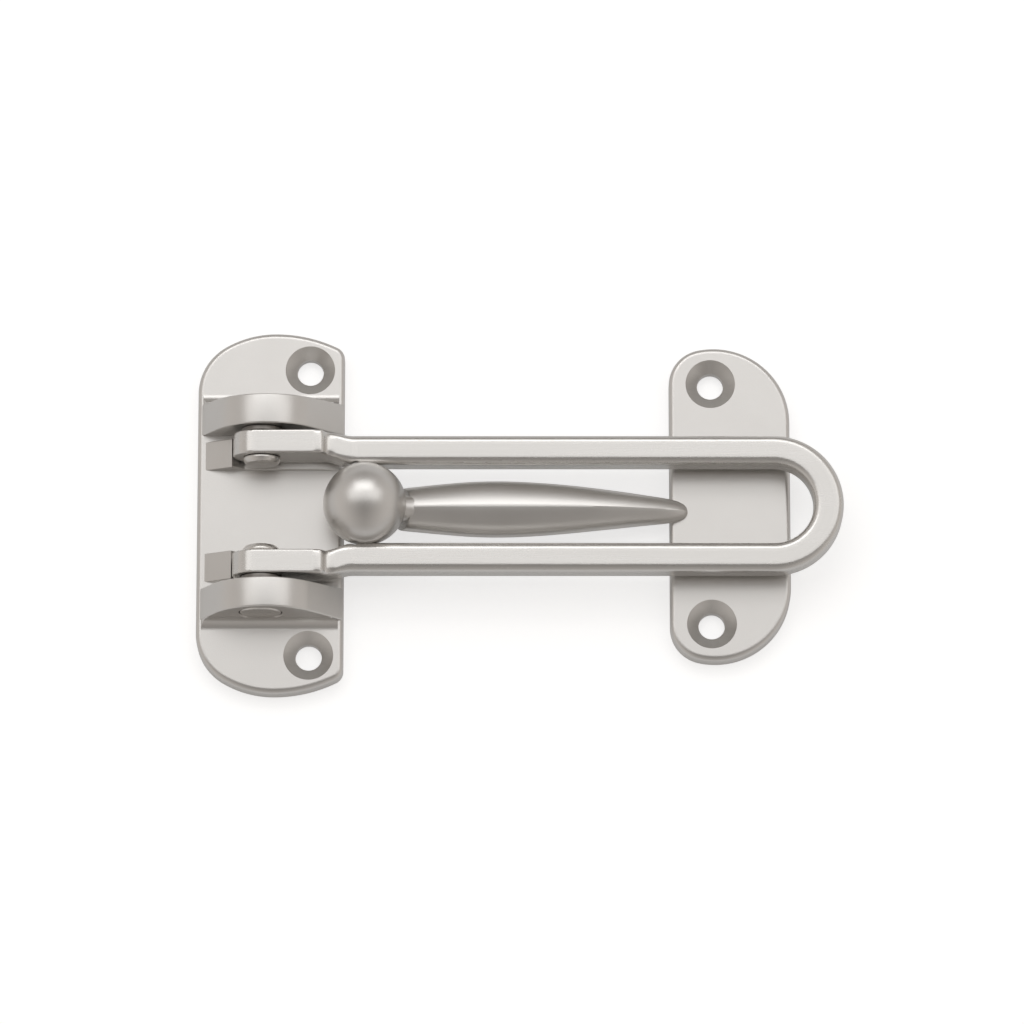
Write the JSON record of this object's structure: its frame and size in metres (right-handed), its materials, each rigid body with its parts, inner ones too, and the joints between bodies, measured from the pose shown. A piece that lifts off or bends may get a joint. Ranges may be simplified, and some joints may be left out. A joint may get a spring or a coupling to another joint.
{
  "type": "swing bar door guard",
  "caption": "Door guard with a U-shaped bar that swings on two rivet pins and drops over a ball on a long curved arm; both plates take countersunk screws.",
  "frame": {"origin": "midway between the hinge base's two screw holes, on the mounting plane", "axes": "+X from the hinge base to the strike plate, +Y across the bar, +Z out of the wall along the screw holes"},
  "size_m": [0.1103, 0.0632, 0.0167],
  "materials": {
    "satin_nickel": "satin nickel plating",
    "pin_nickel": "satin nickel plating, a little darker"
  },
  "bodies": {
    "base": {"hinge_base": "satin_nickel", "upper_pin": "pin_nickel", "lower_pin": "pin_nickel", "upper_washer": "pin_nickel", "lower_washer": "pin_nickel", "ball_strike": "satin_nickel"},
    "bar": {"swing_bar": "satin_nickel"}
  },
  "joints": [
    {"name": "bar_swing", "type": "hinge", "parent": "base", "child": "bar", "pos_m": [-0.008, 0, 0.0082], "axis": [0, -1, 0], "range_deg": [0, 155]}
  ]
}
